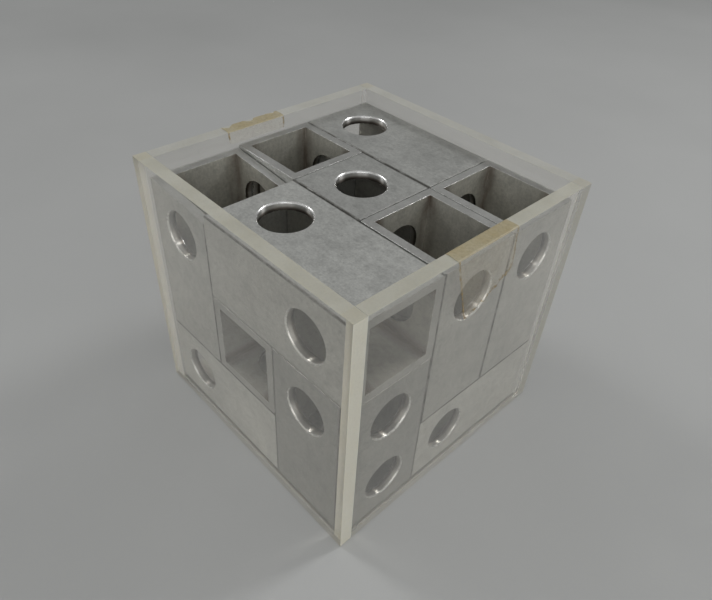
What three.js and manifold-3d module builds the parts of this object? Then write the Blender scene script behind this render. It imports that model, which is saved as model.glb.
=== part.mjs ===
// Packing puzzle: thirteen two-cell square tubes and one short cube, drilled and cut from
// aluminium box section, packed three by three by three in an open-topped acrylic box.
// Millimetres, +Z up, +X right, -Y front. The origin is the centre of the underside.
import * as THREE from 'three';
import { mergeVertices } from 'three/addons/utils/BufferGeometryUtils.js';
import Module from 'manifold-3d';

// ---- driving dimensions -------------------------------------------------
const CELLS = 3;             // the stack is three cells along each axis
const PITCH = 30;            // one cell, the nominal size of the box section
const FIT = 0.3;             // play between neighbouring tubes
const SIDE = PITCH - FIT;    // outside width of the section
const WALL = 3;              // wall of the section
const BORE = SIDE - 2 * WALL;
const HOLE_D = 16;           // drilled holes
const HOLE_SEGMENTS = 24;

const SIDE_PLAY = 0.5;       // play between the stack and the acrylic walls
const ACRYLIC = 4.5;         // wall sheets
const FLOOR = 1.5;           // floor sheet, set between the walls
const SEAM = 0.3;            // cemented joint between sheets
const RIM = 5;               // walls above the top of the stack

const CUT_OUTER = 0.8;       // the front left upright is sawn short and out of square at the top:
const CUT_INNER = 3;         // this far below the stack's top at its outer and at its inner side

const TAPE_T = 0.2;          // old tape folded over the rim
const TAPE_GAP = 0.2;
const TAPE_LEFT_ENDS = [-18, 5];          // along the wall, front and back
const TAPE_RIGHT_ENDS = [-13, 13];
const TAPE_INSIDE = 4.4;     // reach of the folded legs below the rim
const TAPE_LEFT_OUTSIDE = 3;
const TAPE_RIGHT_OUTSIDE = 21;

// ---- derived positions --------------------------------------------------
const HALF = CELLS * PITCH / 2;
const INNER = HALF + SIDE_PLAY;
const OUTER = INNER + ACRYLIC;
const STACK_Z = FLOOR + FIT / 2;
const STACK_TOP = STACK_Z + CELLS * PITCH - FIT / 2;
const TOP = STACK_TOP + RIM;

const ALUMINIUM = { color: 0x9b9d99, roughness: 0.45, metalness: 0.9 };
const CLEAR = { color: 0xdfe2dc, roughness: 0.08, metalness: 0.0 };
const TAPE = { color: 0xc9b27a, roughness: 0.4, metalness: 0.0 };

const wasm = await Module();
wasm.setup();

// ---- solids -------------------------------------------------------------
function toSolid(geometry) {
  const plain = geometry.index ? geometry.clone() : geometry;
  plain.deleteAttribute('normal');
  plain.deleteAttribute('uv');
  const merged = mergeVertices(plain, 1e-5);
  const mesh = new wasm.Mesh({
    numProp: 3,
    vertProperties: new Float32Array(merged.attributes.position.array),
    triVerts: new Uint32Array(merged.index.array),
  });
  return new wasm.Manifold(mesh);
}

function toGeometry(solid) {
  const mesh = solid.getMesh();
  const count = mesh.vertProperties.length / mesh.numProp;
  const positions = new Float32Array(count * 3);
  for (let i = 0; i < count; i += 1) {
    for (let k = 0; k < 3; k += 1) {
      positions[3 * i + k] = mesh.vertProperties[i * mesh.numProp + k];
    }
  }
  const geometry = new THREE.BufferGeometry();
  geometry.setAttribute('position', new THREE.BufferAttribute(positions, 3));
  geometry.setIndex(new THREE.BufferAttribute(new Uint32Array(mesh.triVerts), 1));
  const flat = geometry.toNonIndexed();
  flat.computeVertexNormals();
  return flat;
}

function block(low, high) {
  const size = high.map((v, k) => v - low[k]);
  const geometry = new THREE.BoxGeometry(size[0], size[1], size[2]);
  geometry.translate((low[0] + high[0]) / 2, (low[1] + high[1]) / 2, (low[2] + high[2]) / 2);
  return toSolid(geometry);
}

// A drill of the hole's size, right across the section at one cell.
function drill(centre, axis) {
  const reach = PITCH + 2;
  const geometry = new THREE.CylinderGeometry(HOLE_D / 2, HOLE_D / 2, reach, HOLE_SEGMENTS);
  geometry.rotateY(Math.PI / HOLE_SEGMENTS);
  if (axis === 0) {
    geometry.rotateZ(Math.PI / 2);
  }
  if (axis === 2) {
    geometry.rotateX(Math.PI / 2);
  }
  geometry.translate(centre[0], centre[1], centre[2]);
  return toSolid(geometry);
}

function cellLow(cell) {
  return [cell[0] * PITCH - HALF, cell[1] * PITCH - HALF, STACK_Z + cell[2] * PITCH];
}

function cellCentre(cell) {
  return cellLow(cell).map((v) => v + PITCH / 2);
}

// A length of box section, open at both ends of its own axis, with drilled holes.
function section(cell, axis, cells, holes) {
  const low = cellLow(cell).map((v) => v + FIT / 2);
  const high = low.map((v) => v + SIDE);
  high[axis] = low[axis] + cells * PITCH - FIT;
  const boreLow = low.map((v) => v + WALL);
  const boreHigh = high.map((v) => v - WALL);
  boreLow[axis] = low[axis] - 1;
  boreHigh[axis] = high[axis] + 1;
  let solid = block(low, high).subtract(block(boreLow, boreHigh));
  for (const [step, across] of holes) {
    const at = cell.slice();
    at[axis] += step;
    solid = solid.subtract(drill(cellCentre(at), across));
  }
  return solid;
}

// Saws the top of the front left upright out of square.
function sawSlanted(solid) {
  const left = FIT / 2 - HALF;
  const slope = (CUT_INNER - CUT_OUTER) / SIDE;
  const length = Math.hypot(slope, 1);
  const offset = (-slope * left - (STACK_TOP - CUT_OUTER)) / length;
  return solid.trimByPlane([-slope / length, 0, -1 / length], offset);
}

// ---- the pieces ---------------------------------------------------------
const X = 0;
const Y = 1;
const Z = 2;

// name, lowest cell, axis of the section, length in cells, holes as [cell along, drilled along]
const SECTIONS = [
  ['tube_front_left_upright', [0, 0, 1], Z, 2, [[1, Y]]],
  ['tube_mid_left_upright', [0, 1, 1], Z, 2, [[1, Y]]],
  ['tube_mid_right_upright', [2, 1, 1], Z, 2, [[1, X]]],
  ['tube_back_right_upright', [2, 2, 1], Z, 2, [[1, X]]],
  ['tube_front_right_upright', [2, 0, 0], Z, 2, [[0, X], [1, X], [1, Y]]],
  ['tube_front_top', [1, 0, 2], X, 2, [[0, Z], [1, Y]]],
  ['tube_back_top', [0, 2, 2], X, 2, [[0, Z]]],
  ['tube_front_bottom', [0, 0, 0], X, 2, [[0, Y]]],
  ['tube_right_bottom', [2, 1, 0], Y, 2, [[0, X]]],
  ['tube_centre_middle', [1, 0, 1], Y, 2, [[0, Z]]],
  ['tube_back_left_upright', [0, 2, 0], Z, 2, [[1, X]]],
  ['tube_back_mid_upright', [1, 2, 0], Z, 2, [[1, Y]]],
  ['tube_mid_bottom', [0, 1, 0], X, 2, [[0, Z]]],
  ['cube_top_centre', [1, 1, 2], X, 1, [[0, Z]]],
];

function tapeStrip(side, outside, [front, back]) {
  const wallIn = INNER;
  const wallOut = OUTER;
  const grow = TAPE_GAP + TAPE_T;
  const over = block(
    [wallIn - grow, front, TOP - TAPE_INSIDE],
    [wallOut + grow, back, TOP + grow],
  );
  const outer = block(
    [wallOut, front, TOP - outside],
    [wallOut + grow, back, TOP + grow],
  );
  const hollow = block(
    [wallIn - TAPE_GAP, front - 1, TOP - outside - 40],
    [wallOut + TAPE_GAP, back + 1, TOP + TAPE_GAP],
  );
  const short = block(
    [wallOut, front - 1, TOP - outside - 40],
    [wallOut + 1, back + 1, TOP - outside],
  );
  const strip = over.add(outer).subtract(hollow).subtract(short);
  return side > 0 ? strip : strip.rotate([0, 0, 180]).translate([0, front + back, 0]);
}

function pieces() {
  const list = [];
  const between = INNER - SEAM;
  list.push(['floor_sheet', block([-between, -between, 0], [between, between, FLOOR]), CLEAR]);
  list.push(['wall_front', block([-OUTER, -OUTER, 0], [OUTER, -INNER, TOP]), CLEAR]);
  list.push(['wall_back', block([-OUTER, INNER, 0], [OUTER, OUTER, TOP]), CLEAR]);
  list.push(['wall_left', block([-OUTER, -between, 0], [-INNER, between, TOP]), CLEAR]);
  list.push(['wall_right', block([INNER, -between, 0], [OUTER, between, TOP]), CLEAR]);
  list.push(['tape_left', tapeStrip(-1, TAPE_LEFT_OUTSIDE, TAPE_LEFT_ENDS), TAPE]);
  list.push(['tape_right', tapeStrip(1, TAPE_RIGHT_OUTSIDE, TAPE_RIGHT_ENDS), TAPE]);
  for (const [name, cell, axis, cells, holes] of SECTIONS) {
    const tube = section(cell, axis, cells, holes);
    list.push([name, name === 'tube_front_left_upright' ? sawSlanted(tube) : tube, ALUMINIUM]);
  }
  return list;
}

const object = new THREE.Group();
object.name = 'packing_puzzle';
for (const [name, solid, finish] of pieces()) {
  const material = new THREE.MeshStandardMaterial({
    color: finish.color,
    roughness: finish.roughness,
    metalness: finish.metalness,
  });
  material.name = name;
  const mesh = new THREE.Mesh(toGeometry(solid), material);
  mesh.name = name;
  object.add(mesh);
}

export default object;
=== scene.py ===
"""Looks of the packing puzzle: drilled aluminium box section in an open acrylic box.

Sizes are in millimetres: +X right, -Y front, +Z up, from the centre of the underside. MM turns
them into the scene's metres.
"""
import math
import random

import bpy
from mathutils import Matrix, Vector, noise


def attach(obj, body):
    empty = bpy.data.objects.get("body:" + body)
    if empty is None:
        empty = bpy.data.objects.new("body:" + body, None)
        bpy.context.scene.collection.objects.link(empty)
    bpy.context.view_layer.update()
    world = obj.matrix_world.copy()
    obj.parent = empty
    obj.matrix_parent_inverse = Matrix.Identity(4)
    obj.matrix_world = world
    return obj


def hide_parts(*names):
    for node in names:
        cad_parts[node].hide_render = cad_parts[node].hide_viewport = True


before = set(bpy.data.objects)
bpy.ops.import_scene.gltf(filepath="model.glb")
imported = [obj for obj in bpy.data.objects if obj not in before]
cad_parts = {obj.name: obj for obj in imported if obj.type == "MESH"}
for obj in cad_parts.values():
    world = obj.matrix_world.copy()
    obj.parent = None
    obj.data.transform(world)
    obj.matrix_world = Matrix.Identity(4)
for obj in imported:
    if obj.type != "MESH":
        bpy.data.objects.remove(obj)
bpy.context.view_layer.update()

MM = 0.001

# ---- sizes of the object, in millimetres --------------------------------
CELLS = 3                 # the stack is three cells along each axis
PITCH = 30.0              # one cell
FIT = 0.3                 # play between neighbouring tubes
SIDE = PITCH - FIT        # outside width of the section
WALL = 3.0                # wall of the section
OUTER_CORNER = 0.45       # corner radii of the section
INNER_CORNER = 0.15
CORNER_STEPS = 4
ARRIS = 0.15              # broken edges of the metal
ARRIS_ANGLE = 40          # degrees, edges sharper than this are broken
HOLE_R = 8.0              # drilled holes
HOLE_STEPS = 72
LIP = 0.45                # deburred edge of the holes
CUT_OUTER = 0.8           # slanted top cut of the front left upright, below the stack's top
CUT_INNER = 3.0

SIDE_PLAY = 0.5           # play between the stack and the acrylic walls
ACRYLIC = 4.5             # wall sheets
FLOOR = 1.5               # floor sheet, set between the walls
RIM = 5.0                 # walls above the top of the stack
JOINT = 0.02              # cement between sheets
SHEET_EDGE = 0.08         # broken edges of the acrylic

TAPE_GAP = 0.12           # between the tape and the acrylic
TAPE_FOLD = 0.5           # radius of the tape's folds
TAPE_THICK = 0.07
TAPE_RAGGED = 3.2         # depth of the torn edge's long waves
TAPE_FRAYED = 1.1         # and of its short ones
TAPE_WAVE = 0.35          # waviness of the tape's ends
TAPE_CRUST = 0.7          # brown crust above the torn edge
TAPE_BACK_CRUST = 1.6     # how much more of it there is at the very back
TAPE_INNER_END = 0.3      # brown ends of the strip, inside the box and outside
TAPE_OUTER_END = 0.55
TAPE_STEP = 0.8           # step down the tape's legs
TAPE_ROWS = 42            # narrow strips that make up the tape, front to back
FOLD_STEPS = 4
RIM_STEPS = 7

HALF = CELLS * PITCH / 2
INNER = HALF + SIDE_PLAY
OUTER = INNER + ACRYLIC
STACK_Z = FLOOR + FIT / 2
STACK_TOP = STACK_Z + CELLS * PITCH - FIT / 2
TOP = STACK_TOP + RIM

X, Y, Z = 0, 1, 2
# node, body, lowest cell, axis, cells, holes as (cell along the tube, drilled along), tone
SECTIONS = (
    ("tube_front_left_upright", "front_left_upright", (0, 0, 1), Z, 2, ((1, Y),), 1.0),
    ("tube_mid_left_upright", "mid_left_upright", (0, 1, 1), Z, 2, ((1, Y),), 0.98),
    ("tube_mid_right_upright", "mid_right_upright", (2, 1, 1), Z, 2, ((1, X),), 0.95),
    ("tube_back_right_upright", "back_right_upright", (2, 2, 1), Z, 2, ((1, X),), 1.0),
    ("tube_front_right_upright", "front_right_upright", (2, 0, 0), Z, 2,
     ((0, X), (1, X), (1, Y)), 0.78),
    ("tube_front_top", "front_top", (1, 0, 2), X, 2, ((0, Z), (1, Y)), 1.05),
    ("tube_back_top", "back_top", (0, 2, 2), X, 2, ((0, Z),), 0.92),
    ("tube_front_bottom", "front_bottom", (0, 0, 0), X, 2, ((0, Y),), 1.22),
    ("tube_right_bottom", "right_bottom", (2, 1, 0), Y, 2, ((0, X),), 1.16),
    ("tube_centre_middle", "centre_middle", (1, 0, 1), Y, 2, ((0, Z),), 0.97),
    ("tube_back_left_upright", "back_left_upright", (0, 2, 0), Z, 2, ((1, X),), 1.03),
    ("tube_back_mid_upright", "back_mid_upright", (1, 2, 0), Z, 2, ((1, Y),), 0.95),
    ("tube_mid_bottom", "mid_bottom", (0, 1, 0), X, 2, ((0, Z),), 1.0),
    ("cube_top_centre", "cube_top_centre", (1, 1, 2), X, 1, ((0, Z),), 0.92),
)


# ---- small helpers for node trees ----------------------------------------
class Tree:
    """A material's nodes, with short calls that make and link them."""

    def __init__(self, name):
        self.material = bpy.data.materials.new(name)
        self.material.use_nodes = True
        self.nodes = self.material.node_tree.nodes
        self.links = self.material.node_tree.links
        self.nodes.clear()
        self.out = self.nodes.new("ShaderNodeOutputMaterial")

    def add(self, kind, values=None, **props):
        node = self.nodes.new(kind)
        for key, value in props.items():
            setattr(node, key, value)
        for key, value in (values or {}).items():
            self.put(node.inputs[key], value)
        return node

    def put(self, socket, value):
        if isinstance(value, bpy.types.NodeSocket):
            self.links.new(value, socket)
        else:
            socket.default_value = value

    def place(self, scale=(1, 1, 1), shift=0.0):
        """Object coordinates, stretched by scale and moved by shift metres."""
        coords = self.add("ShaderNodeTexCoord").outputs["Object"]
        values = {"Vector": coords, "Scale": scale, "Location": (shift, shift, shift)}
        return self.add("ShaderNodeMapping", values).outputs[0]

    def noise(self, vector, scale, detail=3.0, rough=0.55):
        values = {"Vector": vector, "Scale": scale, "Detail": detail, "Roughness": rough}
        return self.add("ShaderNodeTexNoise", values).outputs["Fac"]

    def ramp(self, value, *stops):
        """Maps value through (position, grey or colour) stops."""
        node = self.add("ShaderNodeValToRGB", {"Fac": value})
        points = node.color_ramp.elements
        while len(points) < len(stops):
            points.new(0.5)
        for point, (at, colour) in zip(points, stops):
            point.position = at
            if not isinstance(colour, tuple):
                colour = (colour, colour, colour)
            point.color = (*colour, 1)
        return node.outputs["Color"]

    def math(self, operation, a, b=0.0, clamp=False):
        values = {0: a, 1: b}
        return self.add("ShaderNodeMath", values, operation=operation, use_clamp=clamp).outputs[0]

    def mix(self, kind, fac, a, b):
        """Blends colour b over colour a, in the blend mode that kind names."""
        values = {0: fac, 6: a, 7: b}
        return self.add("ShaderNodeMix", values, data_type="RGBA", blend_type=kind).outputs[2]

    def bump(self, height, strength, distance, under=None):
        values = {"Height": height, "Strength": strength, "Distance": distance}
        if under is not None:
            values["Normal"] = under
        return self.add("ShaderNodeBump", values).outputs[0]

    def principled(self, **values):
        """A Principled shader; a socket's name is written with _ for its spaces."""
        sockets = {key.replace("_", " "): value for key, value in values.items()}
        return self.add("ShaderNodeBsdfPrincipled", sockets).outputs[0]

    def finish(self, shader):
        self.links.new(shader, self.out.inputs["Surface"])
        return self.material


# ---- materials -----------------------------------------------------------
def across(axis):
    """The two axes square to axis."""
    return (axis + 1) % 3, (axis + 2) % 3


def grain_scale(axis, wide, along):
    """Texture scale that differs along one axis."""
    return tuple(along if k == axis else wide for k in range(3))


def from_middle(t, k):
    """How far a point is from the middle of its cell along k, in cells: 0 to 0.5."""
    low = (-HALF, -HALF, STACK_Z)[k]
    split = t.add("ShaderNodeSeparateXYZ", {"Vector": t.place()})
    cell = t.math("ADD", t.math("DIVIDE", split.outputs[k], PITCH * MM), -low / PITCH)
    return t.math("ABSOLUTE", t.math("SUBTRACT", t.math("FRACT", cell), 0.5))


def at_corners(t, axis, *stops):
    """The ramp's value where it holds along both directions across the section."""
    b, c = across(axis)
    return t.math("MULTIPLY", t.ramp(from_middle(t, b), *stops), t.ramp(from_middle(t, c), *stops))


def extruded_aluminium(name, axis, tone, seed):
    """Mill finish: fine speckle, dull patches; painted shade on the long edges and inside, brown
    in the inner corners.
    """
    t = Tree(name)
    here = t.place(shift=seed)
    lines = t.noise(t.place(grain_scale(axis, 1.0, 0.06), seed), 1500, 3, 0.6)
    speck = t.noise(here, 1900, 3, 0.75)
    grit = t.noise(here, 850, 2, 0.6)
    cloud = t.noise(here, 60, 4, 0.6)
    patch = t.noise(here, 240, 3, 0.6)
    dull = tuple(tone * v for v in (0.675, 0.680, 0.655))
    bright = tuple(tone * v for v in (0.818, 0.821, 0.790))
    grey = t.ramp(cloud, (0.25, dull), (0.75, bright))
    grey = t.mix("MULTIPLY", 0.5, grey, t.ramp(speck, (0.30, 0.62), (0.64, 1.0)))
    grey = t.mix("MULTIPLY", 0.5, grey, t.ramp(grit, (0.30, 0.74), (0.62, 1.0)))
    grey = t.mix("MULTIPLY", 0.2, grey, t.ramp(lines, (0.30, 0.70), (0.60, 1.0)))
    grey = t.mix("MULTIPLY", 0.65, grey, t.ramp(patch, (0.28, 0.84), (0.55, 1.0)))
    pits = t.add("ShaderNodeTexVoronoi", {"Vector": here, "Scale": 240.0}).outputs["Distance"]
    grey = t.mix("MULTIPLY", 0.5, grey, t.ramp(pits, (0.03, 0.5), (0.08, 1.0)))
    # painted shade inside the tubes, deeper in those that lie on their side
    within = at_corners(t, axis, (0.398, 1.0), (0.406, 0.0))
    hollow_shade = (0.94, 0.92, 0.87, 1) if axis == Z else (0.75, 0.735, 0.70, 1)
    grey = t.mix("MULTIPLY", within, grey, hollow_shade)
    # painted shade, brown and streaky, in the inner corners where the walls meet
    streak = t.noise(t.place(grain_scale(axis, 1.0, 0.25), seed), 130, 3, 0.6)
    inside = at_corners(t, axis, (0.24, 0.0), (0.37, 0.8), (0.397, 1.0), (0.405, 0.0))
    corner_shade = t.math("MULTIPLY", inside, t.ramp(streak, (0.34, 0.15), (0.60, 1.0)))
    grey = t.mix("MIX", corner_shade, grey, (0.130, 0.078, 0.048, 1))
    # painted shade along the long outer edges, where neighbouring tubes meet, patchy
    edge = at_corners(t, axis, (0.472, 0.0), (0.487, 1.0))
    seam_shade = t.math("MULTIPLY", edge, t.ramp(patch, (0.32, 0.35), (0.55, 0.90)))
    grey = t.mix("MIX", seam_shade, grey, (0.075, 0.070, 0.060, 1))
    rough = t.math("ADD", t.math("MULTIPLY", cloud, 0.14), t.math("MULTIPLY", speck, 0.22))
    rough = t.math("ADD", rough, t.math("ADD", t.math("MULTIPLY", within, 0.2), 0.34))
    normal = t.bump(lines, 0.08, 0.00004)
    normal = t.bump(speck, 0.20, 0.00005, normal)
    normal = t.bump(grit, 0.10, 0.00008, normal)
    return t.finish(t.principled(
        Base_Color=grey, Metallic=0.90, Roughness=rough, Normal=normal))


def sawn_aluminium(name):
    """Cut ends: brighter, with short arcs left by the saw."""
    t = Tree(name)
    here = t.place()
    arcs = t.add("ShaderNodeTexWave", {
        "Vector": here, "Scale": 420.0, "Distortion": 9.0, "Detail": 2.0,
        "Detail Scale": 1.6}, wave_type="RINGS").outputs["Fac"]
    speck = t.noise(here, 1600, 3, 0.7)
    cloud = t.noise(here, 120, 3, 0.5)
    grey = t.ramp(cloud, (0.3, (0.53, 0.53, 0.51)), (0.7, (0.64, 0.64, 0.62)))
    grey = t.mix("MULTIPLY", 0.5, grey, t.ramp(speck, (0.3, 0.72), (0.6, 1.0)))
    rough = t.math("ADD", t.math("MULTIPLY", speck, 0.25), 0.36)
    normal = t.bump(arcs, 0.25, 0.00006)
    normal = t.bump(speck, 0.25, 0.00006, normal)
    return t.finish(t.principled(
        Base_Color=grey, Metallic=0.85, Roughness=rough, Normal=normal))


def burred_aluminium(name):
    """The arrises left by the saw: rough and full of small glints."""
    t = Tree(name)
    here = t.place()
    bits = t.noise(here, 1500, 3, 0.7)
    nicks = t.noise(here, 520, 3, 0.7)
    grey = t.ramp(nicks, (0.35, (0.20, 0.20, 0.19)), (0.46, (0.62, 0.62, 0.60)),
                  (0.62, (0.95, 0.95, 0.94)))
    rough = t.ramp(bits, (0.3, 0.22), (0.6, 0.5))
    normal = t.bump(bits, 0.9, 0.0002)
    normal = t.bump(nicks, 0.7, 0.0003, normal)
    return t.finish(t.principled(
        Base_Color=grey, Metallic=1.0, Roughness=rough, Normal=normal))


def drilled_aluminium(name, axis):
    """Hole walls: fine rings draw highlights out along the hole; bright lip, painted shade deeper
    in.
    """
    t = Tree(name)
    here = t.place()
    cloud = t.noise(here, 420, 3, 0.6)
    fine = t.noise(here, 2200, 2, 0.6)
    rings = t.noise(t.place(grain_scale(axis, 0.05, 1.0)), 2600, 2, 0.6)
    grey = t.ramp(cloud, (0.3, (0.80, 0.79, 0.77)), (0.7, (0.94, 0.94, 0.92)))
    grey = t.mix("MULTIPLY", 0.35, grey, t.ramp(rings, (0.3, 0.7), (0.6, 1.0)))
    # painted shade, darker the deeper into the hole
    bore_shade = t.ramp(from_middle(t, axis), (0.400, (0.10, 0.09, 0.08)), (0.425, (0.30, 0.27, 0.24)),
                   (0.445, (0.85, 0.83, 0.80)), (0.480, (1.0, 1.0, 1.0)))
    grey = t.mix("MULTIPLY", 1.0, grey, bore_shade)
    rough = t.math("ADD", t.math("MULTIPLY", cloud, 0.10), 0.30)
    normal = t.bump(fine, 0.08, 0.00005)
    along = t.add("ShaderNodeCombineXYZ", {k: float(k == axis) for k in range(3)})
    return t.finish(t.principled(
        Base_Color=grey, Metallic=1.0, Roughness=rough, Normal=normal,
        Anisotropic=1.0, Tangent=along.outputs[0]))


def hole_lip(name):
    """The deburred edge of a hole: a thin bright ring."""
    t = Tree(name)
    here = t.place()
    cloud = t.noise(here, 600, 3, 0.6)
    grey = t.ramp(cloud, (0.32, (0.70, 0.69, 0.67)), (0.55, (0.97, 0.97, 0.96)))
    rough = t.math("ADD", t.math("MULTIPLY", cloud, 0.2), 0.16)
    normal = t.bump(cloud, 0.3, 0.0001)
    return t.finish(t.principled(Base_Color=grey, Metallic=1.0, Roughness=rough, Normal=normal))


def let_lamps_through(t, glass, tint):
    """Lamps reach what is behind the sheet without noisy caustics."""
    shadow = t.add("ShaderNodeLightPath").outputs["Is Shadow Ray"]
    clear = t.add("ShaderNodeBsdfTransparent", {"Color": tint}).outputs[0]
    return t.add("ShaderNodeMixShader", {0: shadow, 1: glass, 2: clear}).outputs[0]


def clear_acrylic(name):
    """Old clear sheet: slightly hazy, with fine rubbing marks."""
    t = Tree(name)
    here = t.place()
    haze = t.noise(here, 45, 4, 0.6)
    rub = t.noise(t.place((1.0, 1.0, 0.12)), 900, 2, 0.6)
    rough = t.math("ADD", t.math("MULTIPLY", haze, 0.03), t.math("MULTIPLY", rub, 0.01))
    normal = t.bump(haze, 0.05, 0.0002)
    glass = t.principled(
        Base_Color=(0.992, 0.976, 0.946, 1), Roughness=rough, IOR=1.49,
        Transmission_Weight=0.96, Normal=normal)
    return t.finish(let_lamps_through(t, glass, (0.956, 0.948, 0.928, 1)))


def corner_mask(t):
    """One within the four corners where two walls meet, zero elsewhere."""
    split = t.add("ShaderNodeSeparateXYZ", {"Vector": t.place()})
    mask = 1.0
    for axis in (X, Y):
        beyond = t.math("SUBTRACT", t.math("ABSOLUTE", split.outputs[axis]), INNER * MM)
        mask = t.math("MULTIPLY", t.math("MULTIPLY", beyond, 4000, clamp=True), mask)
    return mask


def sawn_acrylic(name, dull, pale, glued):
    """Sawn sheet edges: frosted and gone cream, yellower where the corners are cemented."""
    t = Tree(name)
    here = t.place()
    cloud = t.noise(here, 90, 4, 0.6)
    marks = t.noise(here, 1400, 3, 0.6)
    cream = t.ramp(cloud, (0.3, dull), (0.7, pale))
    glue = t.math("MULTIPLY", corner_mask(t), t.ramp(cloud, (0.3, 0.75), (0.75, 0.35)))
    cream = t.mix("MIX", glue, cream, (*glued, 1))
    cream = t.mix("MULTIPLY", 0.35, cream, t.ramp(marks, (0.3, 0.8), (0.6, 1.0)))
    rough = t.math("ADD", t.math("MULTIPLY", marks, 0.2), 0.45)
    normal = t.bump(marks, 0.3, 0.00008)
    return t.finish(t.principled(
        Base_Color=cream, Roughness=rough, Normal=normal, Subsurface_Weight=0.25,
        Subsurface_Radius=(0.0016, 0.0014, 0.0010), Subsurface_Scale=1.0))


def old_tape(name, pale, deep, clear, dense):
    """Clear tape gone yellow and brittle; clear and dense bound how much it hides."""
    t = Tree(name)
    here = t.place()
    cloud = t.noise(here, 170, 4, 0.6)
    crumb = t.noise(here, 700, 4, 0.7)
    fibre = t.noise(t.place((1.0, 0.15, 1.0)), 1500, 2, 0.6)
    amber = t.ramp(cloud, (0.3, deep), (0.7, pale))
    amber = t.mix("MULTIPLY", 0.5, amber, t.ramp(crumb, (0.3, 0.6), (0.55, 1.0)))
    alpha = t.ramp(crumb, (0.36, dense), (0.62, clear))
    rough = t.math("ADD", t.math("MULTIPLY", fibre, 0.25), 0.25)
    normal = t.bump(fibre, 0.25, 0.0001)
    return t.finish(t.principled(
        Base_Color=amber, Roughness=rough, Alpha=alpha, Normal=normal))


def pale_floor(name):
    """Plain pale ground with painted light: a little lighter towards the right and the front."""
    t = Tree(name)
    here = t.place()
    cloud = t.noise(here, 6, 3, 0.5)
    weave = t.noise(here, 900, 2, 0.6)
    split = t.add("ShaderNodeSeparateXYZ", {"Vector": here})
    # painted light: the ground grows lighter towards the right and the front
    side = t.math("ADD", t.math("MULTIPLY", split.outputs[X], 1.25), 0.62)
    front = t.math("MULTIPLY", split.outputs[Y], -0.43)
    side = t.math("ADD", front, side, clamp=True)
    grey = t.ramp(cloud, (0.3, (0.487, 0.492, 0.487)), (0.7, (0.527, 0.532, 0.527)))
    grey = t.mix("MULTIPLY", 1.0, grey, t.ramp(side, (0.0, 0.77), (1.0, 1.13)))
    normal = t.bump(weave, 0.06, 0.0003)
    return t.finish(t.principled(Base_Color=grey, Roughness=0.85, Normal=normal))


SAWN_METAL = sawn_aluminium("aluminium_sawn")
BURR_METAL = burred_aluminium("aluminium_burr")
LIP_METAL = hole_lip("aluminium_lip")
HOLE_METAL = [drilled_aluminium("aluminium_drilled_" + "xyz"[axis], axis) for axis in (X, Y, Z)]
CLEAR = clear_acrylic("acrylic_clear")
SAWN_RIM = sawn_acrylic(
    "acrylic_sawn_rim", (0.500, 0.486, 0.410), (0.580, 0.568, 0.492), (0.520, 0.486, 0.375))
# a darker, greyer copy for the rear rims: painted shade
SAWN_REAR_RIM_PAINTED_SHADE = sawn_acrylic(
    "acrylic_sawn_rear_rim_painted_shade", (0.480, 0.474, 0.428), (0.545, 0.540, 0.498), (0.500, 0.472, 0.380))
# a much paler copy for the exposed sheet ends: painted light, for the glow the sheet carries to
# its edges
SAWN_END_PAINTED_LIGHT = sawn_acrylic(
    "acrylic_sawn_end_painted_light", (0.760, 0.734, 0.622), (0.825, 0.800, 0.697), (0.792, 0.762, 0.650))
# paler still for ends seen through the front sheet: painted light against the shade behind the
# glass
SAWN_INNER_END_PAINTED_LIGHT = sawn_acrylic(
    "acrylic_sawn_inner_end_painted_light", (0.900, 0.876, 0.760), (0.950, 0.930, 0.830), (0.930, 0.902, 0.790))
SAWN_FOOT = sawn_acrylic(
    "acrylic_sawn_foot", (0.455, 0.450, 0.420), (0.525, 0.520, 0.490), (0.540, 0.520, 0.450))
# pale copy for the butt ends seen through the front sheet: painted light against the shade behind
# the glass
SAWN_BUTT_PAINTED_LIGHT = sawn_acrylic(
    "acrylic_sawn_butt_painted_light", (0.850, 0.845, 0.800), (0.925, 0.920, 0.880), (0.920, 0.905, 0.830))
TAPE_FILM = old_tape("tape_film", (0.92, 0.83, 0.65), (0.86, 0.73, 0.50), 0.04, 0.11)
TAPE_RIM = old_tape("tape_rim", (0.66, 0.59, 0.41), (0.60, 0.50, 0.29), 0.45, 0.75)
TAPE_EDGE = old_tape("tape_edge", (0.56, 0.45, 0.24), (0.40, 0.27, 0.10), 0.06, 0.70)


# ---- meshes --------------------------------------------------------------
def new_object(name, mesh):
    obj = bpy.data.objects.new(name, mesh)
    bpy.context.scene.collection.objects.link(obj)
    return obj


def baked(obj):
    """Applies the object's modifiers to its mesh."""
    depsgraph = bpy.context.evaluated_depsgraph_get()
    mesh = bpy.data.meshes.new_from_object(obj.evaluated_get(depsgraph))
    old = obj.data
    obj.modifiers.clear()
    obj.data = mesh
    mesh.name = obj.name
    bpy.data.meshes.remove(old)


def bevel(obj, width, segments=2):
    mod = obj.modifiers.new("bevel", "BEVEL")
    mod.width = width * MM
    mod.segments = segments
    mod.limit_method = "ANGLE"
    mod.angle_limit = math.radians(ARRIS_ANGLE)
    mod.use_clamp_overlap = True


def smooth(obj, angle=35):
    """Smooth shading on what is curved; flat faces keep their own normals."""
    obj.data.set_sharp_from_angle(angle=math.radians(angle))
    for face in obj.data.polygons:
        face.use_smooth = max(abs(n) for n in face.normal) < 0.9998


def rounded_square(half, radius):
    """Outline of a square with round corners, counter-clockwise, as (a, b) pairs."""
    points = []
    for quarter in range(4):
        turn = math.radians(90 * quarter)
        for k in range(CORNER_STEPS + 1):
            angle = math.radians(90 * k / CORNER_STEPS)
            a = half - radius + radius * math.cos(angle)
            b = half - radius + radius * math.sin(angle)
            points.append((a * math.cos(turn) - b * math.sin(turn),
                           a * math.sin(turn) + b * math.cos(turn)))
    return points


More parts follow.
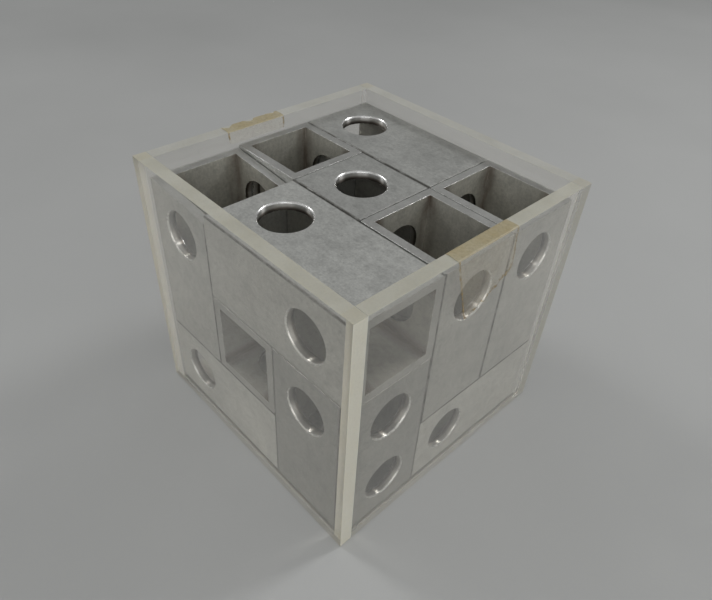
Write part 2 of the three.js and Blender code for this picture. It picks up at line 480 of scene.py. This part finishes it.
def cell_low(cell):
    """The lowest corner of a cell."""
    return Vector((cell[0] * PITCH - HALF, cell[1] * PITCH - HALF, STACK_Z + cell[2] * PITCH))


def saw_drop(name, end, x):
    """How far the front left upright's top is cut below square."""
    if name != "tube_front_left_upright" or end == 0:
        return 0.0
    share = (x + HALF - FIT / 2) / SIDE
    return CUT_OUTER + (CUT_INNER - CUT_OUTER) * share


def section_mesh(name, cell, axis, cells):
    """A plain length of box section with round corners, before drilling."""
    low = cell_low(cell) + Vector((FIT / 2,) * 3)
    b, c = across(axis)
    outer = rounded_square(SIDE / 2, OUTER_CORNER)
    inner = rounded_square(SIDE / 2 - WALL, INNER_CORNER)
    count = len(outer)
    verts = []
    for end in (0, cells * PITCH - FIT):
        for ring in (outer, inner):
            for p, q in ring:
                v = [0.0, 0.0, 0.0]
                v[axis] = low[axis] + end
                v[b] = low[b] + SIDE / 2 + p
                v[c] = low[c] + SIDE / 2 + q
                v[Z] -= saw_drop(name, end, v[X])
                verts.append([x * MM for x in v])
    faces = []
    lo_out, lo_in, hi_out, hi_in = 0, count, 2 * count, 3 * count
    for i in range(count):
        j = (i + 1) % count
        faces.append((lo_out + i, lo_out + j, hi_out + j, hi_out + i))
        faces.append((lo_in + j, lo_in + i, hi_in + i, hi_in + j))
        faces.append((hi_out + i, hi_out + j, hi_in + j, hi_in + i))
        faces.append((lo_out + j, lo_out + i, lo_in + i, lo_in + j))
    mesh = bpy.data.meshes.new(name)
    mesh.from_pydata(verts, [], faces)
    mesh.validate()
    return mesh


def drill_bit(centre, axis):
    """A cutter right across one cell, flared where it breaks the outer faces."""
    b, c = across(axis)
    skin = SIDE / 2
    wide = HOLE_R + LIP + 1
    profile = [(-skin - 1, wide), (-skin + LIP, HOLE_R), (skin - LIP, HOLE_R), (skin + 1, wide)]
    verts = []
    for along, radius in profile:
        for k in range(HOLE_STEPS):
            angle = 2 * math.pi * (k + 0.5) / HOLE_STEPS
            v = [0.0, 0.0, 0.0]
            v[axis] = centre[axis] + along
            v[b] = centre[b] + radius * math.cos(angle)
            v[c] = centre[c] + radius * math.sin(angle)
            verts.append([x * MM for x in v])
    last = 3 * HOLE_STEPS
    faces = [tuple(range(HOLE_STEPS))[::-1], tuple(range(last, last + HOLE_STEPS))]
    for at in range(0, last, HOLE_STEPS):
        above = at + HOLE_STEPS
        for k in range(HOLE_STEPS):
            j = (k + 1) % HOLE_STEPS
            faces.append((at + k, at + j, above + j, above + k))
    mesh = bpy.data.meshes.new("bit")
    mesh.from_pydata(verts, [], faces)
    return new_object("bit", mesh)


# a tube's materials in order, with one for the holes drilled along each axis
EXTRUDED, SAWN, BURRED, DRILLED, LIPPED = 0, 1, 2, 3, 6
NEAR_END = 0.4            # faces this near a cut end belong to it
NEAR_HOLE = 0.3           # faces this far outside a hole's lip still belong to it


def paint_section(obj, node, metal, cell, axis, cells, holes):
    """Material by face: cut ends and their arrises, hole walls, and the extruded rest."""
    mesh = obj.data
    mesh.materials.clear()
    for material in (metal, SAWN_METAL, BURR_METAL, *HOLE_METAL, LIP_METAL):
        mesh.materials.append(material)
    low = cell_low(cell)[axis] + FIT / 2
    high = low + cells * PITCH - FIT
    for face in mesh.polygons:
        at = face.center / MM
        index = EXTRUDED
        drop = saw_drop(node, 1, at.x)
        square = abs(face.normal[axis])
        if square > 0.5 and min(abs(at[axis] - low), abs(at[axis] - high + drop)) < NEAR_END:
            index = SAWN if square > 0.97 else BURRED
        for centre, way in holes:
            away = at - centre
            along = away[way]
            away[way] = 0
            facing = abs(face.normal[way])
            close = away.length < HOLE_R + LIP + NEAR_HOLE and abs(along) < PITCH / 2
            if close and facing < 0.95:
                index = DRILLED + way if facing < 0.3 else LIPPED
        face.material_index = index


def make_section(node, body, cell, axis, cells, holes, tone):
    """One tube: drilled, then its edges broken, then painted."""
    obj = new_object(node + "_metal", section_mesh(node, cell, axis, cells))
    drilled = []
    bits = []
    for step, way in holes:
        at = list(cell)
        at[axis] += step
        centre = cell_low(at) + Vector((PITCH / 2,) * 3)
        drilled.append((centre, way))
        bit = drill_bit(centre, way)
        bits.append(bit)
        mod = obj.modifiers.new("drill", "BOOLEAN")
        mod.operation = "DIFFERENCE"
        mod.solver = "EXACT"
        mod.object = bit
    baked(obj)
    for bit in bits:
        bpy.data.objects.remove(bit)
    bevel(obj, ARRIS)
    baked(obj)
    metal = extruded_aluminium(node + "_extruded", axis, tone, random.uniform(0.0, 3.0))
    paint_section(obj, node, metal, cell, axis, cells, drilled)
    smooth(obj)
    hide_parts(node)
    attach(obj, body)


def box_mesh(name, low, high):
    """A plain block between two opposite corners."""
    x, y, z = ((a * MM, b * MM) for a, b in zip(low, high))
    verts = [(x[i], y[j], z[k]) for i in (0, 1) for j in (0, 1) for k in (0, 1)]
    faces = [(0, 1, 3, 2), (4, 6, 7, 5), (0, 4, 5, 1), (2, 3, 7, 6), (0, 2, 6, 4), (1, 5, 7, 3)]
    mesh = bpy.data.meshes.new(name)
    mesh.from_pydata(verts, [], faces)
    return mesh


# a sheet's materials in order; rims and ends differ from wall to wall in painted light and shade
FACE, UPPER, END, FOOT = range(4)
SHEET_RIMS = {"wall_left": SAWN_REAR_RIM_PAINTED_SHADE, "wall_back": SAWN_REAR_RIM_PAINTED_SHADE}
SHEET_ENDS = {"wall_left": SAWN_BUTT_PAINTED_LIGHT, "wall_right": SAWN_INNER_END_PAINTED_LIGHT, "wall_front": SAWN_END_PAINTED_LIGHT}


def make_sheet(node, low, high, thin):
    """One acrylic sheet, thin along one axis: clear faces, frosted edges and underside.

    The rear ends of the side walls are wetted by cement and stay clear.
    """
    obj = new_object(node + "_acrylic", box_mesh(node, low, high))
    bevel(obj, SHEET_EDGE, 1)
    baked(obj)
    mesh = obj.data
    mesh.materials.clear()
    rim = SHEET_RIMS.get(node, SAWN_RIM)
    ends = SHEET_ENDS.get(node, SAWN_FOOT)
    for material in (CLEAR, rim, ends, SAWN_FOOT):
        mesh.materials.append(material)
    for face in mesh.polygons:
        up = face.normal.z
        if thin == Z:
            face.material_index = FACE if up > 0.99 else FOOT
        elif abs(face.normal[thin]) > 0.99 or (thin == X and face.normal.y > 0.99):
            face.material_index = FACE
        elif abs(up) > 0.6:
            face.material_index = UPPER if up > 0 else FOOT
        else:
            face.material_index = END
    smooth(obj, 30)
    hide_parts(node)
    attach(obj, "box")


def make_box():
    side = INNER - JOINT
    make_sheet("floor_sheet", (-side, -side, 0), (side, side, FLOOR), Z)
    make_sheet("wall_front", (-OUTER, -OUTER, 0), (OUTER, -INNER, TOP), Y)
    make_sheet("wall_back", (-OUTER, INNER, 0), (OUTER, OUTER, TOP), Y)
    make_sheet("wall_left", (-OUTER, -side, 0), (-INNER, side, TOP), X)
    make_sheet("wall_right", (INNER, -side, 0), (OUTER, side, TOP), X)


def fold(x, z, start):
    """Quarter round of tape about (x, z), turning down from start degrees, as (x, z)."""
    angles = [math.radians(start - 90 * k / FOLD_STEPS) for k in range(FOLD_STEPS + 1)]
    return [(x + TAPE_FOLD * math.cos(a), z + TAPE_FOLD * math.sin(a)) for a in angles]


def tape_path(inside, outside):
    """Cross-section of tape folded over a rim, from the inner leg to the outer leg, as (x, z)."""
    left, right = INNER - TAPE_GAP, OUTER + TAPE_GAP
    top = TOP + TAPE_GAP
    flat = right - left - 2 * TAPE_FOLD
    up = max(3, int(inside / TAPE_STEP))
    down = max(3, int(outside / TAPE_STEP))
    points = [(left, TOP - inside + (inside - TAPE_FOLD) * k / up) for k in range(up)]
    points += fold(left + TAPE_FOLD, top - TAPE_FOLD, 180)
    points += [(left + TAPE_FOLD + flat * k / RIM_STEPS, top) for k in range(1, RIM_STEPS)]
    points += fold(right - TAPE_FOLD, top - TAPE_FOLD, 90)
    for k in range(1, down + 1):
        points.append((right, TOP - TAPE_FOLD - (outside - TAPE_FOLD) * k / down))
    return points


def path_runs(path):
    """How far along the path each of its points is."""
    runs = [0.0]
    for (x0, z0), (x1, z1) in zip(path, path[1:]):
        runs.append(runs[-1] + math.hypot(x1 - x0, z1 - z0))
    return runs


def point_at(path, runs, run):
    """The place, as (x, z), that is run along the path."""
    k = max(i for i in range(len(runs)) if runs[i] <= run)
    share = (run - runs[k]) / (runs[k + 1] - runs[k])
    return tuple(a + (b - a) * share for a, b in zip(path[k], path[k + 1]))


def wobble(*place):
    return noise.noise(Vector(place))


def tape_film(node, side, path, runs, rim_run, slant, ends, low_ends, seed):
    """The film of tape without thickness, and how long it is in each row down to its tear."""
    total = runs[-1]
    tears = []
    verts = []
    for r in range(TAPE_ROWS + 1):
        y, low_y = (front + (back - front) * r / TAPE_ROWS for front, back in (ends, low_ends))
        ragged = TAPE_RAGGED * (0.5 + wobble(y * 0.22, seed, 0.0))
        frayed = TAPE_FRAYED * abs(wobble(y * 1.3, seed + 5, 0.0))
        tear = total - slant * r / TAPE_ROWS - ragged - frayed
        tears.append(tear)
        for (x, z), run in zip(path, runs):
            if run > tear:
                x, z = point_at(path, runs, tear)
                run = tear
            wave = TAPE_WAVE * wobble(run * 0.35, seed, y * 0.02)
            down = max(0.0, run - rim_run) / (total - rim_run)
            at_y = y + (low_y - y) * down + wave * (1 if r in (0, TAPE_ROWS) else 0.3)
            verts.append((side * x * MM, at_y * MM, z * MM))
    width = len(path)
    faces = []
    for r in range(TAPE_ROWS):
        for k in range(width - 1):
            a = r * width + k
            quad = (a, a + 1, a + width + 1, a + width)
            faces.append(quad if side > 0 else quad[::-1])
    mesh = bpy.data.meshes.new(node)
    mesh.from_pydata(verts, [], faces)
    return mesh, tears


def paint_tape(mesh, outside, hangs, ends, low_ends):
    """Paints the rim's stretch, and a brown crust along the torn edge and the ragged ends.

    hangs is how far the outer leg hangs below the rim, row by row.
    """
    mesh.materials.clear()
    for material in (TAPE_FILM, TAPE_RIM, TAPE_EDGE):
        mesh.materials.append(material)
    on_rim, crusted = 1, 2
    for face in mesh.polygons:
        at = face.center / MM
        if at.z > TOP - 0.1:
            face.material_index = on_rim
            continue
        outer_leg = abs(at.x) > OUTER
        down = (TOP - at.z) / outside if outer_leg else 0.0
        front, back = (high + (low - high) * down for high, low in zip(ends, low_ends))
        share = (at.y - front) / (back - front)
        row = min(TAPE_ROWS - 1, max(0, int(share * TAPE_ROWS)))
        crust = TAPE_CRUST + TAPE_BACK_CRUST * max(0.0, share - 0.72) / 0.28
        at_foot = outer_leg and hangs[row] - (TOP - at.z) < crust
        end_reach = TAPE_OUTER_END if outer_leg else TAPE_INNER_END
        at_end = min(at.y - front, back - at.y) < end_reach
        if at_foot or at_end:
            face.material_index = crusted


def make_tape(node, side, inside, outside, slant, ends, low_ends, seed):
    """A strip of tape with a torn lower edge, ragged ends and small wrinkles.

    side is -1 for the left wall and 1 for the right one; inside and outside are the reach of the
    legs below the rim. The strip runs from the first to the last of ends at the rim and of
    low_ends at the foot of the outer leg, which is shorter by slant at the back.
    """
    path = tape_path(inside, outside)
    runs = path_runs(path)
    rim_run = max(run for (x, z), run in zip(path, runs) if x < OUTER)
    mesh, tears = tape_film(node, side, path, runs, rim_run, slant, ends, low_ends, seed)
    obj = new_object(node + "_film", mesh)
    weld = obj.modifiers.new("weld", "WELD")
    weld.merge_threshold = 0.00001
    solid = obj.modifiers.new("solid", "SOLIDIFY")
    solid.thickness = TAPE_THICK * MM
    solid.offset = 1.0
    baked(obj)
    paint_tape(obj.data, outside, [tear - rim_run for tear in tears], ends, low_ends)
    smooth(obj, 50)
    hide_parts(node)
    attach(obj, "box")


# ---- stage, light and camera, in metres and degrees -----------------------
STAGE_HALF = 6.0
STAGE_DROP = 0.0002               # the stage lies just below the object
CAMERA_AZIMUTH = 44.73            # from the front towards the right
CAMERA_ELEVATION = 40.23
CAMERA_ROLL = 3.51
CAMERA_PLACE = (0.12053, -0.12093, 0.18831)
CAMERA_LENS = 31.25               # millimetres, for the sensor's width
CAMERA_SENSOR = 36.0
LAMP_AIM = (0, 0, 0.05)
# name, azimuth, elevation, distance, size, power
LAMPS = (
    ("soft_left", 45 - 118, 42, 1.1, 0.22, 1.9),
    ("soft_right", 45 + 118, 42, 1.1, 0.22, 2.6),
    ("soft_front", 45, 20, 1.5, 1.2, 4.0),
)
SKY_COLOUR = (0.97, 0.98, 0.97, 1)
SKY_STRENGTH = 0.36
SKY_RISE = 0.16                   # how much stronger the sky is towards SKY_FRONT
SKY_FRONT = (0.707, -0.707, 0.0)


def make_stage():
    half = STAGE_HALF
    corners = ((-half, -half), (half, -half), (half, half), (-half, half))
    mesh = bpy.data.meshes.new("stage_floor")
    mesh.from_pydata([(x, y, -STAGE_DROP) for x, y in corners], [], [(0, 1, 2, 3)])
    mesh.materials.append(pale_floor("stage_pale"))
    new_object("stage_floor", mesh)


def direction(azimuth, elevation):
    """Unit vector out from the object."""
    az, el = math.radians(azimuth), math.radians(elevation)
    return Vector((math.sin(az) * math.cos(el), -math.cos(az) * math.cos(el), math.sin(el)))


def softbox(name, azimuth, elevation, distance, size, power):
    """A square area light aimed at the object."""
    away = direction(azimuth, elevation)
    data = bpy.data.lights.new(name, "AREA")
    data.shape = "SQUARE"
    data.size = size
    data.energy = power
    obj = bpy.data.objects.new(name, data)
    bpy.context.scene.collection.objects.link(obj)
    obj.location = Vector(LAMP_AIM) + away * distance
    obj.rotation_euler = away.to_track_quat("Z", "Y").to_euler()


def make_sky():
    """Even soft light from all round, a little stronger from the front."""
    world = bpy.data.worlds.new("studio")
    world.use_nodes = True
    nodes, links = world.node_tree.nodes, world.node_tree.links
    back = nodes["Background"]
    back.inputs["Color"].default_value = SKY_COLOUR
    way = nodes.new("ShaderNodeTexCoord")
    facing = nodes.new("ShaderNodeVectorMath")
    facing.operation = "DOT_PRODUCT"
    facing.inputs[1].default_value = SKY_FRONT
    fade = nodes.new("ShaderNodeMath")
    fade.operation = "MULTIPLY_ADD"
    fade.inputs[1].default_value = SKY_RISE
    fade.inputs[2].default_value = SKY_STRENGTH
    links.new(way.outputs["Generated"], facing.inputs[0])
    links.new(facing.outputs["Value"], fade.inputs[0])
    links.new(fade.outputs[0], back.inputs["Strength"])
    bpy.context.scene.world = world


def make_camera():
    back = direction(CAMERA_AZIMUTH, CAMERA_ELEVATION)
    roll = math.radians(CAMERA_ROLL)
    right = Vector((0, 0, 1)).cross(back).normalized()
    up = back.cross(right)
    x = right * math.cos(roll) + up * math.sin(roll)
    y = up * math.cos(roll) - right * math.sin(roll)
    data = bpy.data.cameras.new("camera")
    data.sensor_width = CAMERA_SENSOR
    data.lens = CAMERA_LENS
    data.clip_start = 0.01
    obj = bpy.data.objects.new("camera", data)
    bpy.context.scene.collection.objects.link(obj)
    turn = Matrix((x, y, back)).transposed().to_4x4()
    obj.matrix_world = Matrix.Translation(CAMERA_PLACE) @ turn
    bpy.context.scene.camera = obj


random.seed(7)
make_camera()
for spec in SECTIONS:
    make_section(*spec)
make_box()
make_tape("tape_left", -1, 4.2, 1.6, 0, (-18, 5), (-18, 5), 3.0)
make_tape("tape_right", 1, 2.2, 26.0, 8.5, (-14.0, 11.8), (-5.6, 15.0), 9.0)
make_stage()
for lamp in LAMPS:
    softbox(*lamp)
make_sky()
bpy.context.scene.view_settings.view_transform = "Standard"
